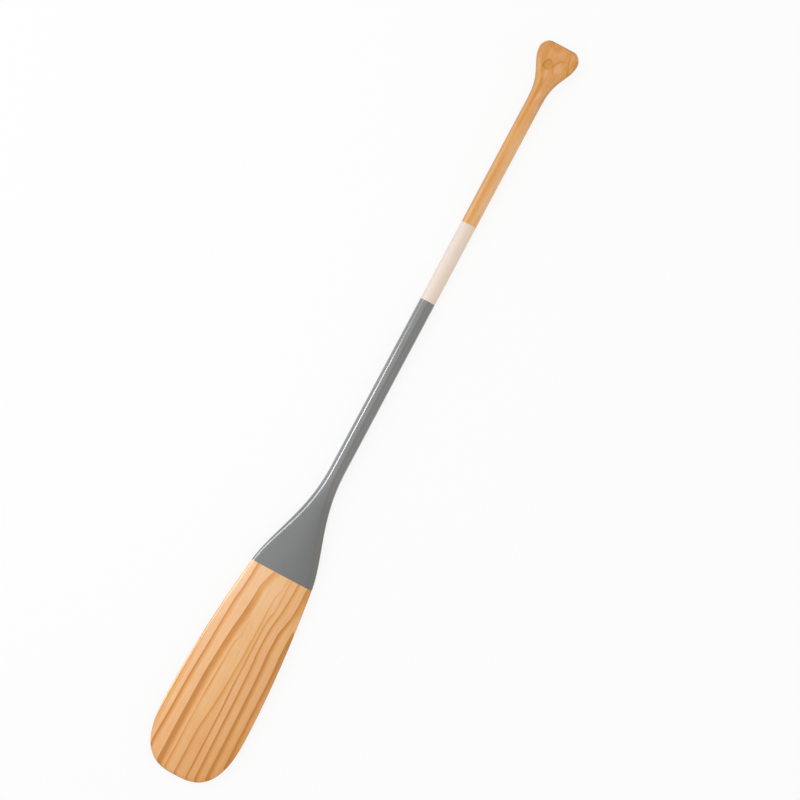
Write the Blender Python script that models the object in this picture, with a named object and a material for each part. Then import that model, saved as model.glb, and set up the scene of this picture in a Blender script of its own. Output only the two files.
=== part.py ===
"""A wooden canoe paddle with a palm grip, glued up from five boards and finished with two coats of paint.

Run it with blender --background --python part.py, or from Blender's text editor.

The paddle lies on its back: grip towards +Y, blade towards -Y, faces up and down. Its pieces are
drawn from the middle of the grip's end, x across and y along the paddle, with z = 0 halfway through
its thickness, and an empty then sets them down on z = 0, centred over the origin. In the functions
below, a place is a distance along the paddle from the grip's end. All sizes are in metres.
"""

import math

import bmesh
import bpy
import numpy as np

# The whole paddle
OAR_LENGTH = 1.524
SHAFT_DIAMETER = 0.0295

# The palm grip, with the throat that draws it in to the shaft
GRIP_LENGTH = 0.130
GRIP_WIDTH = 0.080  # which its corners aim at, before it draws in
GRIP_PROUD = 0.0005  # how far each face of the grip stands above the shaft
GRIP_TOP_FLAT = 0.042
GRIP_CORNER_LENGTH = 0.022
GRIP_DRAW_START = 0.0115  # where it starts to draw in
GRIP_DRAW = 3.6  # how sharply it draws in
GRIP_FLAT_LENGTH = 0.060  # its faces are flat down to here
GRIP_EDGE = 0.009  # how far in from the rim its faces start to round over
GRIP_EDGE_FULLNESS = 2.6  # 2 is an ellipse, more is squarer

# The blade, from the tip back to the shaft
BLADE_WIDTH = 0.169
TIP_LENGTH = 0.126
TIP_FULLNESS = 2.8
BLADE_SIDE_LENGTH = 0.293
SHOULDER_WIDTH = 0.125
SHOULDER_SPREAD = 0.132  # how fast each side moves out at the shoulder
FLARE_LENGTH = 0.228
FLARE_LATENESS = 1.25  # above 1, the shaft stays slim for longer before it flares
FACE_CROWN = 0.25  # how much of the blade's half thickness its faces drop by towards their sides
SHOULDER_THICKNESS = 0.0180
SHOULDER_THINNING = -0.019  # how fast each face drops at the shoulder
TIP_THICKNESS = 0.0096
SHOULDER_EDGE = 0.014
TIP_EDGE = 0.008

# The boards it is glued up from
STAVE_ALLOWANCE = 0.0085  # how much wider than the round shaft the centre board is
GLUE_GAP = 0.0003

# The paint
BARE_LENGTH = 0.372  # bare wood from the grip's end down to the cream band
BAND_LENGTH = 0.161
COAT_FILM = 0.00035
COAT_PROUD = 0.00015
COAT_GAP = 0.0003

# How finely the surfaces are cut up
EDGE_COLUMNS = 5
FACE_COLUMNS = 8
EDGE_SHARE = 0.8  # the most of the half width that the edge's columns take
GRIP_ROWS = 14
SHAFT_ROWS = 4
FLARE_ROWS = 16
SIDE_ROWS = 9
TIP_ROWS = 11
OUTLINE_POINTS = 900
TIP_POINTS = 90
MERGE_DISTANCE = 1e-6
SHARP_ANGLE = math.radians(38)

# Places along the paddle, from the grip's end
WIDEST = OAR_LENGTH - TIP_LENGTH
SHOULDER = WIDEST - BLADE_SIDE_LENGTH
FLARE = SHOULDER - FLARE_LENGTH
BAND_END = BARE_LENGTH + BAND_LENGTH
MIDDLE = (GRIP_LENGTH + FLARE) / 2

SHAFT_RADIUS = SHAFT_DIAMETER / 2
GRIP_HALF_THICKNESS = SHAFT_RADIUS + GRIP_PROUD
STAVE_HALF_WIDTH = (SHAFT_DIAMETER + STAVE_ALLOWANCE) / 2
WOOD_UNDER_PAINT = COAT_PROUD - COAT_FILM - COAT_GAP

MATERIALS = {
    # name: base colour, roughness, coat
    "pine": ((0.74, 0.40, 0.165), 0.45, 0.3),
    "cream_paint": ((0.80, 0.68, 0.58), 0.40, 0.3),
    "grey_paint": ((0.215, 0.22, 0.225), 0.22, 0.6),
}


def clear_scene():
    for obj in list(bpy.data.objects):
        bpy.data.objects.remove(obj, do_unlink=True)


def make_material(name):
    colour, roughness, coat = MATERIALS[name]
    material = bpy.data.materials.new(name)
    material.use_nodes = True
    shader = material.node_tree.nodes["Principled BSDF"]
    shader.inputs["Base Color"].default_value = (*colour, 1.0)
    shader.inputs["Roughness"].default_value = roughness
    shader.inputs["Metallic"].default_value = 0.0
    shader.inputs["Coat Weight"].default_value = coat
    return material


def share(place, start, end):
    """How far a place is along a stretch: 0 before its start, 1 after its end."""
    return np.clip((place - start) / (end - start), 0.0, 1.0)


def ease(t):
    """A smooth rise from 0 to 1."""
    return t * t * (3.0 - 2.0 * t)


def arc(t, fullness):
    """Height of a rounded edge, 0 at its rim and 1 at its inner end, as a share of the way in."""
    return (1.0 - (1.0 - np.clip(t, 0.0, 1.0)) ** fullness) ** (1.0 / fullness)


def flare_out(place, first, last, last_slope):
    """A size that leaves the shaft level and reaches the shoulder with the slope given."""
    t = share(place, FLARE, SHOULDER) ** FLARE_LATENESS
    arrive = t * t * (t - 1.0) * FLARE_LENGTH * last_slope / FLARE_LATENESS
    return first + (last - first) * ease(t) + arrive


def level_out(place, end, first, last, first_slope):
    """A size that leaves the shoulder with the slope given and is level at the end."""
    power = first_slope * (end - SHOULDER) / (last - first)
    return last + (first - last) * (1.0 - share(place, SHOULDER, end)) ** power


def draw_in(place):
    """How far the grip has turned into shaft: 0 in the grip and 1 on the shaft."""
    t = share(place, GRIP_DRAW_START, GRIP_LENGTH)
    return (1.0 - (1.0 - t) ** GRIP_DRAW) ** GRIP_DRAW


def half_width(place):
    """Half the paddle's width at a place along it."""
    place = np.asarray(place, float)
    corner = (GRIP_WIDTH - GRIP_TOP_FLAT) / 2 * arc(place / GRIP_CORNER_LENGTH, 2.0)
    grip = GRIP_TOP_FLAT / 2 + corner + (SHAFT_RADIUS - GRIP_WIDTH / 2) * draw_in(place)
    flare = flare_out(place, SHAFT_RADIUS, SHOULDER_WIDTH / 2, SHOULDER_SPREAD)
    side = level_out(place, WIDEST, SHOULDER_WIDTH / 2, BLADE_WIDTH / 2, SHOULDER_SPREAD)
    tip = BLADE_WIDTH / 2 * arc((OAR_LENGTH - place) / TIP_LENGTH, TIP_FULLNESS)
    return np.select([place < FLARE, place < SHOULDER, place < WIDEST], [grip, flare, side], tip)


def face_height(place):
    """Height of the flat of the faces above the middle of the thickness."""
    grip = GRIP_HALF_THICKNESS - GRIP_PROUD * ease(share(place, GRIP_FLAT_LENGTH, GRIP_LENGTH))
    throat = flare_out(place, SHAFT_RADIUS, SHOULDER_THICKNESS / 2, SHOULDER_THINNING)
    blade = level_out(place, OAR_LENGTH, SHOULDER_THICKNESS / 2, TIP_THICKNESS / 2, SHOULDER_THINNING)
    return np.select([place < FLARE, place < SHOULDER], [grip, throat], blade)


def edge_reach(place):
    """How far in from the rim the faces are rounded over. On the shaft that is all the way."""
    grip = GRIP_EDGE + (SHAFT_RADIUS - GRIP_EDGE) * draw_in(place)
    throat = SHAFT_RADIUS + (SHOULDER_EDGE - SHAFT_RADIUS) * ease(share(place, FLARE, SHOULDER))
    blade = SHOULDER_EDGE + (TIP_EDGE - SHOULDER_EDGE) * ease(share(place, SHOULDER, WIDEST))
    return np.select([place < FLARE, place < SHOULDER], [grip, throat], blade)


def edge_fullness(place):
    """How square the rounding is: that of the grip's edges, or an ellipse's everywhere else."""
    return GRIP_EDGE_FULLNESS + (2.0 - GRIP_EDGE_FULLNESS) * draw_in(place)


def crowning(place, x):
    """What the crown of the faces leaves of their height: all of it on the shaft and along the middle."""
    drop = FACE_CROWN * ease(share(place, FLARE, SHOULDER))
    return 1.0 - drop * (x / half_width(min(place, WIDEST))) ** 2


def tip_places(rows):
    """Places round the tip, closer together towards its end."""
    turn = np.linspace(0.0, math.pi / 2, rows + 1)
    return WIDEST + TIP_LENGTH * np.sin(turn) ** (2.0 / TIP_FULLNESS)


def outline(offset):
    """Points down the right side of the paddle, from the middle of the grip's end to the tip."""
    places = np.concatenate([np.linspace(0.0, WIDEST, OUTLINE_POINTS), tip_places(TIP_POINTS)])
    side = np.column_stack([half_width(places) + offset, places])
    return np.vstack([[0.0, 0.0], side])


def distance_to_rim(points, rim):
    """Distance from each plan point to a chain of points."""
    start, along = rim[:-1], np.diff(rim, axis=0)
    length_squared = np.maximum((along**2).sum(axis=1), 1e-18)
    offset = points[:, None, :] - start
    t = np.clip((offset * along).sum(axis=2) / length_squared, 0.0, 1.0)
    nearest = start + t[..., None] * along
    return np.linalg.norm(points[:, None, :] - nearest, axis=2).min(axis=1)


def columns(width, reach):
    """Places across one row of the surface, closer together where the edges are rounded."""
    rounded = min(reach, EDGE_SHARE * width)
    turn = np.linspace(0.0, math.pi / 2, EDGE_COLUMNS + 1)
    edge = width - rounded * (1.0 - np.sin(turn))
    face = np.linspace(-edge[0], edge[0], FACE_COLUMNS + 1)
    return np.concatenate([-edge[:0:-1], face, edge[1:]])


def skin(bm, rows):
    """Adds the paddle's surface over rows of (place, offset), where offset is out from bare wood.

    A flat grid is laid out to the plan, domed to the thickness and mirrored through the rim.
    """
    across = 2 * EDGE_COLUMNS + FACE_COLUMNS
    down = len(rows) - 1
    grid = bmesh.ops.create_grid(bm, x_segments=across, y_segments=down, size=1.0)["verts"]
    places, offsets = np.array(rows).T
    widths = half_width(places) + offsets
    reaches = edge_reach(places) + offsets
    plan = np.array([columns(width, reach) for width, reach in zip(widths, reaches)])
    rims = {offset: outline(offset) for offset in set(offsets)}
    for vert in grid:
        column = round((vert.co.x + 1.0) / 2.0 * across)
        row = round((vert.co.y + 1.0) / 2.0 * down)
        place, offset, x = places[row], offsets[row], plan[row, column]
        height = 0.0
        if 0 < column < across:
            inset = distance_to_rim(np.array([[abs(x), place]]), rims[offset])[0]
            face = face_height(place) * crowning(place, x) + offset
            height = face * arc(inset / reaches[row], edge_fullness(place))
        vert.co = (x, -place, height)
    bmesh.ops.remove_doubles(bm, verts=grid, dist=MERGE_DISTANCE)
    geometry = bm.verts[:] + bm.edges[:] + bm.faces[:]
    bmesh.ops.mirror(bm, geom=geometry, axis="Z", merge_dist=MERGE_DISTANCE)
    bmesh.ops.recalc_face_normals(bm, faces=bm.faces[:])
    highest = max(bm.faces, key=lambda face: face.calc_center_median().z)
    if highest.normal.z < 0.0:  # as an open tube can come out
        bmesh.ops.reverse_faces(bm, faces=bm.faces[:])


def coat_places(start, end):
    """Rows inside a painted stretch: few on the straight shaft, many down the flare."""
    straight = np.linspace(BARE_LENGTH, FLARE, SHAFT_ROWS + 1)
    flare = np.linspace(FLARE, SHOULDER, FLARE_ROWS + 1)
    places = np.unique(np.concatenate([straight, flare]))
    return places[(places > start + COAT_GAP) & (places < end - COAT_GAP)]


def bare(*places):
    return [(place, 0.0) for place in places]


def paddle_rows():
    """Rows of the wood, which steps down under the paint by the film and its gap."""
    end_turn = np.linspace(0.0, math.pi / 2, EDGE_COLUMNS + 1)
    grip_end = GRIP_EDGE * (1.0 - np.cos(end_turn))
    grip = np.linspace(GRIP_EDGE, GRIP_LENGTH, GRIP_ROWS + 1)[1:]
    down, up = BARE_LENGTH - COAT_GAP / 2, SHOULDER + COAT_GAP / 2
    painted = [down, *coat_places(down, up), up]
    side = np.linspace(SHOULDER, WIDEST, SIDE_ROWS + 1)[1:-1]
    return (
        bare(*grip_end, *grip, MIDDLE / 2, down)
        + [(place, WOOD_UNDER_PAINT) for place in painted]
        + bare(up, *side, *tip_places(TIP_ROWS))
    )


def cut(bm, point, outwards):
    """Cuts the body at a plane, drops what is beyond it and closes the cut."""
    geometry = bm.verts[:] + bm.edges[:] + bm.faces[:]
    bmesh.ops.bisect_plane(
        bm, geom=geometry, dist=MERGE_DISTANCE, plane_co=point, plane_no=outwards, clear_outer=True
    )
    rim = [edge for edge in bm.edges if edge.is_boundary]
    bmesh.ops.holes_fill(bm, edges=rim)
    bmesh.ops.recalc_face_normals(bm, faces=bm.faces[:])


def add_object(name, bm, material, parent):
    """Turns a mesh into a named, shaded object that hangs on the paddle's empty."""
    mesh = bpy.data.meshes.new(name)
    bm.to_mesh(mesh)
    bm.free()
    mesh.shade_smooth()
    mesh.set_sharp_from_angle(angle=SHARP_ANGLE)
    mesh.materials.append(material)
    obj = bpy.data.objects.new(name, mesh)
    bpy.context.scene.collection.objects.link(obj)
    obj.parent = parent
    return obj


def wood_blank():
    """The whole paddle in one body, before it is parted into its boards."""
    bm = bmesh.new()
    skin(bm, paddle_rows())
    return bm


def make_stave(material, parent):
    """The centre board, from the grip's end to the tip."""
    bm = wood_blank()
    face = STAVE_HALF_WIDTH - GLUE_GAP / 2
    for side in (-1, 1):
        cut(bm, (side * face, 0.0, 0.0), (side, 0.0, 0.0))
    return add_object("shaft_stave", bm, material, parent)


def make_side_board(name, side, towards_grip, material, parent):
    """A board glued to one side of the stave: a cheek of the grip or a wing of the blade."""
    bm = wood_blank()
    cut(bm, (0.0, -MIDDLE, 0.0), (0.0, -towards_grip, 0.0))
    cut(bm, (side * (STAVE_HALF_WIDTH + GLUE_GAP / 2), 0.0, 0.0), (-side, 0.0, 0.0))
    return add_object(name, bm, material, parent)


def make_coat(name, start, end, material, parent):
    """A coat of paint: the paddle's own surface, a little proud, thickened inwards by its film."""
    bm = bmesh.new()
    first, last = start + COAT_GAP / 2, end - COAT_GAP / 2
    places = [first, *coat_places(first, last), last]
    skin(bm, [(place, COAT_PROUD) for place in places])
    coat = add_object(name, bm, material, parent)
    film = coat.modifiers.new("film", "SOLIDIFY")
    film.thickness = COAT_FILM
    film.offset = -1.0
    film.use_even_offset = True
    return coat


def main():
    clear_scene()
    paddle = bpy.data.objects.new("oar", None)
    bpy.context.scene.collection.objects.link(paddle)
    paddle.location = (0.0, OAR_LENGTH / 2, GRIP_HALF_THICKNESS)
    pine = make_material("pine")
    make_stave(pine, paddle)
    for side, name in ((-1, "left"), (1, "right")):
        make_side_board(f"grip_cheek_{name}", side, 1, pine, paddle)
        make_side_board(f"blade_wing_{name}", side, -1, pine, paddle)
    make_coat("cream_band", BARE_LENGTH, BAND_END, make_material("cream_paint"), paddle)
    make_coat("grey_coat", BAND_END, SHOULDER, make_material("grey_paint"), paddle)


main()
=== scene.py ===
"""Looks of a wooden canoe paddle: its boards, its paint, their finishes and a pale studio.

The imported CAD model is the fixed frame. The paddle lies on its back with its grip towards +Y, its
blade towards -Y and its faces up and down. Every board and coat is built again here on the CAD
model's own curves, cut finer, and takes the place of its plain node. A place is a distance along
the paddle from the grip's end. Sizes are in metres, but the grain works in millimetres.
"""

import logging
import math
from dataclasses import dataclass
from enum import Enum

import bmesh
import bpy
import numpy as np
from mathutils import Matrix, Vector


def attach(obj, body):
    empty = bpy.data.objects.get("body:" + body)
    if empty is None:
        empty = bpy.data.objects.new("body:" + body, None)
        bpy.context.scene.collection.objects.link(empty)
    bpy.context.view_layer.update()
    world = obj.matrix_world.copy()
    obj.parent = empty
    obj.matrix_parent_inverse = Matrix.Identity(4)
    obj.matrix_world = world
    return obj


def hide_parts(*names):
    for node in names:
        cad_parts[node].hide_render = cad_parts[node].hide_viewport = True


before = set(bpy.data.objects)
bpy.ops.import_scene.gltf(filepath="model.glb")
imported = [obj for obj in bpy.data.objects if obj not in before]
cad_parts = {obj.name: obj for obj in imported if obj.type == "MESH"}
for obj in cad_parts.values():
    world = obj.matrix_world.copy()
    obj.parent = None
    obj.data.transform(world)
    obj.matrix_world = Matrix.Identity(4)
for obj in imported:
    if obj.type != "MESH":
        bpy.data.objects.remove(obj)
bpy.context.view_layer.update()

LOG = logging.getLogger("paddle")
BODY = "root"
PER_METRE = 1000.0  # millimetres
MERGE_DISTANCE = 1e-6
SHARP_ANGLE = math.radians(40)
ELLIPSE = 2.0  # the fullness of an elliptical edge
TINY = 1e-18  # keeps a division by a squared length off 0

Colour = tuple[float, float, float]
Range = tuple[float, float]
Points = tuple[tuple[float, float], ...]
Socket = bpy.types.NodeSocket
Value = Socket | float
Triple = tuple[Socket, Socket, Socket]
WHITE: Colour = (1.0, 1.0, 1.0)


class Side(Enum):
    """A side of the paddle, seen from above with the grip away: its sign along x."""

    LEFT = -1
    RIGHT = 1


class End(Enum):
    """An end of the paddle: the sign of the way to it along y."""

    GRIP = 1
    BLADE = -1


def share(place: np.ndarray, start: float, end: float) -> np.ndarray:
    """How far a place is along a stretch: 0 before its start, 1 after its end."""
    return np.clip((place - start) / (end - start), 0.0, 1.0)


def ease(t: np.ndarray) -> np.ndarray:
    """A smooth rise from 0 to 1."""
    return t * t * (3.0 - 2.0 * t)


def arc(t: np.ndarray, fullness: float | np.ndarray) -> np.ndarray:
    """Height of a rounded edge, 0 at its rim and 1 at its inner end, by the way in from the rim."""
    return (1.0 - (1.0 - np.clip(t, 0.0, 1.0)) ** fullness) ** (1.0 / fullness)


def quarter_turn(steps: int) -> np.ndarray:
    """Even angles from 0 to a quarter turn."""
    return np.linspace(0.0, math.pi / 2, steps + 1)


def onward(start: float, end: float, steps: int) -> np.ndarray:
    """Even places after a start, up to an end."""
    return np.linspace(start, end, steps + 1)[1:]


@dataclass(frozen=True)
class PaddleShape:
    """The sizes of the whole paddle and the curves of its surface, as the CAD model has them."""

    length: float = 1.524
    shaft_radius: float = 0.01475
    grip_length: float = 0.130
    grip_width: float = 0.080
    grip_proud: float = 0.0005
    grip_top_flat: float = 0.042
    grip_corner_length: float = 0.022
    grip_draw_start: float = 0.0115
    grip_draw: float = 3.6
    grip_flat_length: float = 0.060
    grip_edge: float = 0.009
    grip_edge_fullness: float = 2.6
    blade_width: float = 0.169
    tip_length: float = 0.126
    tip_fullness: float = 2.8
    blade_side_length: float = 0.293
    shoulder_width: float = 0.125
    shoulder_spread: float = 0.132
    flare_length: float = 0.228
    flare_lateness: float = 1.25
    shoulder_thickness: float = 0.0180
    shoulder_thinning: float = -0.019
    tip_thickness: float = 0.0096
    shoulder_edge: float = 0.014
    tip_edge: float = 0.008
    face_crown: float = 0.25
    stave_half_width: float = 0.019
    bare_length: float = 0.372
    band_length: float = 0.161
    edge_columns: int = 16
    face_columns: int = 14
    edge_share: float = 0.8
    outline_points: int = 1400
    tip_points: int = 160
    corner_points: int = 120
    rim_window: float = 0.045

    @property
    def widest(self) -> float:
        """The place where the blade is widest and its tip starts."""
        return self.length - self.tip_length

    @property
    def shoulder(self) -> float:
        """The place where the paint ends and the bare blade starts."""
        return self.widest - self.blade_side_length

    @property
    def flare(self) -> float:
        """The place where the round shaft starts to flare."""
        return self.shoulder - self.flare_length

    @property
    def band_end(self) -> float:
        """The place where the cream band meets the grey coat."""
        return self.bare_length + self.band_length

    @property
    def middle(self) -> float:
        """A place halfway down the plain shaft."""
        return (self.grip_length + self.flare) / 2

    @property
    def half_thickness(self) -> float:
        """Half the thickness of the grip, and so the height of the paddle's middle plane."""
        return self.shaft_radius + self.grip_proud

    def flare_out(
        self, place: np.ndarray, first: float, last: float, last_slope: float
    ) -> np.ndarray:
        """A size that leaves the shaft level and reaches the shoulder with a slope.

        Args:
            place: Places along the paddle.
            first: The size on the shaft.
            last: The size at the shoulder.
            last_slope: How fast the size changes at the shoulder.

        Returns:
            The size at each place.
        """
        t = share(place, self.flare, self.shoulder) ** self.flare_lateness
        arrive = t * t * (t - 1.0) * self.flare_length * last_slope / self.flare_lateness
        return first + (last - first) * ease(t) + arrive

    def level_out(
        self, place: np.ndarray, end: float, first: float, last: float, first_slope: float
    ) -> np.ndarray:
        """A size that leaves the shoulder with a slope and is level at the end.

        Args:
            place: Places along the paddle.
            end: The place where the size is level.
            first: The size at the shoulder.
            last: The size at the end.
            first_slope: How fast the size changes at the shoulder.

        Returns:
            The size at each place.
        """
        power = first_slope * (end - self.shoulder) / (last - first)
        return last + (first - last) * (1.0 - share(place, self.shoulder, end)) ** power

    def draw_in(self, place: np.ndarray) -> np.ndarray:
        """How far the grip has turned into shaft: 0 in the grip and 1 on the shaft."""
        t = share(place, self.grip_draw_start, self.grip_length)
        return (1.0 - (1.0 - t) ** self.grip_draw) ** self.grip_draw

    def half_width(self, place: np.ndarray) -> np.ndarray:
        """Half the paddle's width at each place.

        Args:
            place: Places along the paddle.

        Returns:
            The distance from the middle line to the rim.
        """
        place = np.asarray(place, float)
        radius, narrow, wide = self.shaft_radius, self.shoulder_width / 2, self.blade_width / 2
        corner = arc(place / self.grip_corner_length, ELLIPSE)
        grip = self.grip_top_flat / 2 + (self.grip_width - self.grip_top_flat) / 2 * corner
        grip = grip + (radius - self.grip_width / 2) * self.draw_in(place)
        flare = self.flare_out(place, radius, narrow, self.shoulder_spread)
        side = self.level_out(place, self.widest, narrow, wide, self.shoulder_spread)
        tip = wide * arc((self.length - place) / self.tip_length, self.tip_fullness)
        inside = [place < self.flare, place < self.shoulder, place < self.widest]
        return np.select(inside, [grip, flare, side], tip)

    def face_height(self, place: np.ndarray) -> np.ndarray:
        """Height of the flat of the faces above the middle plane.

        Args:
            place: Places along the paddle.

        Returns:
            The height at each place.
        """
        shoulder, tip = self.shoulder_thickness / 2, self.tip_thickness / 2
        settled = ease(share(place, self.grip_flat_length, self.grip_length))
        grip = self.half_thickness - self.grip_proud * settled
        throat = self.flare_out(place, self.shaft_radius, shoulder, self.shoulder_thinning)
        blade = self.level_out(place, self.length, shoulder, tip, self.shoulder_thinning)
        return np.select([place < self.flare, place < self.shoulder], [grip, throat], blade)

    def edge_reach(self, place: np.ndarray) -> np.ndarray:
        """How far in from the rim the faces are rounded over, which on the shaft is all the way.

        Args:
            place: Places along the paddle.

        Returns:
            The reach at each place.
        """
        grip = self.grip_edge + (self.shaft_radius - self.grip_edge) * self.draw_in(place)
        flared = ease(share(place, self.flare, self.shoulder))
        throat = self.shaft_radius + (self.shoulder_edge - self.shaft_radius) * flared
        thinned = ease(share(place, self.shoulder, self.widest))
        blade = self.shoulder_edge + (self.tip_edge - self.shoulder_edge) * thinned
        return np.select([place < self.flare, place < self.shoulder], [grip, throat], blade)

    def edge_fullness(self, place: np.ndarray) -> np.ndarray:
        """How square the rounding is: that of the grip's edges, or an ellipse's elsewhere."""
        return self.grip_edge_fullness + (ELLIPSE - self.grip_edge_fullness) * self.draw_in(place)

    def crowning(self, place: np.ndarray, across: np.ndarray) -> np.ndarray:
        """What the crown of the blade's faces leaves of their height.

        Args:
            place: The place along the paddle.
            across: Distances from the middle line.

        Returns:
            1 on the shaft and along the middle line, and less towards the blade's sides.
        """
        drop = self.face_crown * ease(share(place, self.flare, self.shoulder))
        width = self.half_width(np.minimum(place, self.widest))
        return 1.0 - drop * (across / width) ** 2

    def tip_places(self, rows: int) -> np.ndarray:
        """Places round the tip, closer together towards its end."""
        sines = np.sin(quarter_turn(rows))
        return self.widest + self.tip_length * sines ** (2.0 / self.tip_fullness)

    def outline(self, offset: float) -> np.ndarray:
        """Points down the right rim, from the middle of the grip's end to the tip.

        Args:
            offset: How far outside the bare wood the rim stands.

        Returns:
            One (x, place) row for each point.
        """
        corner = self.grip_corner_length * (1.0 - np.cos(quarter_turn(self.corner_points)))
        straight = np.linspace(0.0, self.widest, self.outline_points)
        straight = straight[straight > self.grip_corner_length]
        places = np.concatenate([corner, straight, self.tip_places(self.tip_points)])
        side = np.column_stack([self.half_width(places) + offset, places])
        return np.vstack([[0.0, 0.0], side])

    def columns(self, width: float, reach: float) -> np.ndarray:
        """Places across one row of the surface, closer together where the edges are rounded.

        Args:
            width: Half the width of the row.
            reach: How far in from the rim the face is rounded over.

        Returns:
            The x of each column, from left to right.
        """
        rounded = min(reach, self.edge_share * width)
        edge = width - rounded * (1.0 - np.sin(quarter_turn(self.edge_columns)))
        face = np.linspace(-edge[0], edge[0], self.face_columns + 1)
        return np.concatenate([-edge[:0:-1], face, edge[1:]])

    def row_heights(self, across: np.ndarray, place: float, offset: float) -> np.ndarray:
        """Heights of one row of the upper surface above the middle plane.

        Args:
            across: The x of each column.
            place: The row's place along the paddle.
            offset: How far outside the bare wood the surface stands.

        Returns:
            The height at each column, 0 at both ends of the row.
        """
        rim = self.outline(offset)
        rim = rim[np.abs(rim[:, 1] - place) < self.rim_window]
        start, along = rim[:-1], np.diff(rim, axis=0)
        length_squared = np.maximum((along**2).sum(axis=1), TINY)
        away = np.column_stack([np.abs(across), np.full(len(across), place)])[:, None, :] - start
        t = np.clip((away * along).sum(axis=2) / length_squared, 0.0, 1.0)
        inset = np.linalg.norm(away - t[..., None] * along, axis=2).min(axis=1)
        at = np.array(place)
        reach = self.edge_reach(at) + offset
        face = self.face_height(at) * self.crowning(at, across) + offset
        height = face * arc(inset / reach, self.edge_fullness(at))
        height[[0, -1]] = 0.0
        return height

    def skin(self, rows: list[tuple[float, float]]) -> bmesh.types.BMesh:
        """Makes the paddle's surface over rows of (place, offset).

        A flat grid is laid out to the plan, domed to the thickness and mirrored through the rim.

        Args:
            rows: Each row's place, and how far outside the bare wood it stands.

        Returns:
            The surface, with its faces pointing outwards.
        """
        bm = bmesh.new()
        across, down = 2 * self.edge_columns + self.face_columns, len(rows) - 1
        grid = bmesh.ops.create_grid(bm, x_segments=across, y_segments=down, size=1.0)["verts"]
        plan = []
        for place, offset in rows:
            at = np.array(place)
            width, reach = float(self.half_width(at)), float(self.edge_reach(at))
            x = self.columns(width + offset, reach + offset)
            plan.append((x, self.row_heights(x, place, offset)))
        for vert in grid:
            column = round((vert.co.x + 1.0) / 2.0 * across)
            row = round((vert.co.y + 1.0) / 2.0 * down)
            x, height = plan[row][0][column], plan[row][1][column]
            vert.co = (x, self.length / 2 - rows[row][0], height)
        bmesh.ops.remove_doubles(bm, verts=grid, dist=MERGE_DISTANCE)
        upper = bm.verts[:] + bm.edges[:] + bm.faces[:]
        bmesh.ops.mirror(bm, geom=upper, axis="Z", merge_dist=MERGE_DISTANCE)
        bmesh.ops.translate(bm, verts=bm.verts[:], vec=(0.0, 0.0, self.half_thickness))
        bmesh.ops.recalc_face_normals(bm, faces=bm.faces[:])
        highest = max(bm.faces, key=lambda face: face.calc_center_median().z)
        if highest.normal.z < 0.0:
            bmesh.ops.reverse_faces(bm, faces=bm.faces[:])
        return bm


def cut(bm: bmesh.types.BMesh, point: Vector, outwards: Vector) -> None:
    """Cuts a body at a plane, drops what is beyond it and closes the cut.

    Args:
        bm: The body.
        point: A point of the plane.
        outwards: The way to the part that goes.
    """
    geometry = bm.verts[:] + bm.edges[:] + bm.faces[:]
    bmesh.ops.bisect_plane(
        bm, geom=geometry, dist=MERGE_DISTANCE, plane_co=point, plane_no=outwards, clear_outer=True
    )
    rim = [edge for edge in bm.edges if edge.is_boundary]
    bmesh.ops.holes_fill(bm, edges=rim)
    bmesh.ops.recalc_face_normals(bm, faces=bm.faces[:])


def finish_mesh(name: str, bm: bmesh.types.BMesh) -> bpy.types.Mesh:
    """Turns a body into a mesh.

    Args:
        name: The mesh's name.
        bm: The body, which is used up.

    Returns:
        The mesh.
    """
    mesh = bpy.data.meshes.new(name)
    bm.to_mesh(mesh)
    bm.free()
    return mesh


def add_object(name: str, data: bpy.types.ID) -> bpy.types.Object:
    """Puts something in the scene.

    Args:
        name: The object's name.
        data: Its mesh, lamp or camera.

    Returns:
        The object.
    """
    made = bpy.data.objects.new(name, data)
    bpy.context.scene.collection.objects.link(made)
    return made


def make_piece(name: str, bm: bmesh.types.BMesh, node: str) -> bpy.types.Object:
    """Turns a body into a piece that rides on the paddle's body in the place of a CAD node.

    Args:
        name: The piece's name.
        bm: Its body, in place.
        node: The CAD node that it stands for.

    Returns:
        The piece.
    """
    mesh = finish_mesh(name, bm)
    mesh.shade_smooth()
    mesh.set_sharp_from_angle(angle=SHARP_ANGLE)
    piece = add_object(name, mesh)
    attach(piece, BODY)
    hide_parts(node)
    return piece


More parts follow.
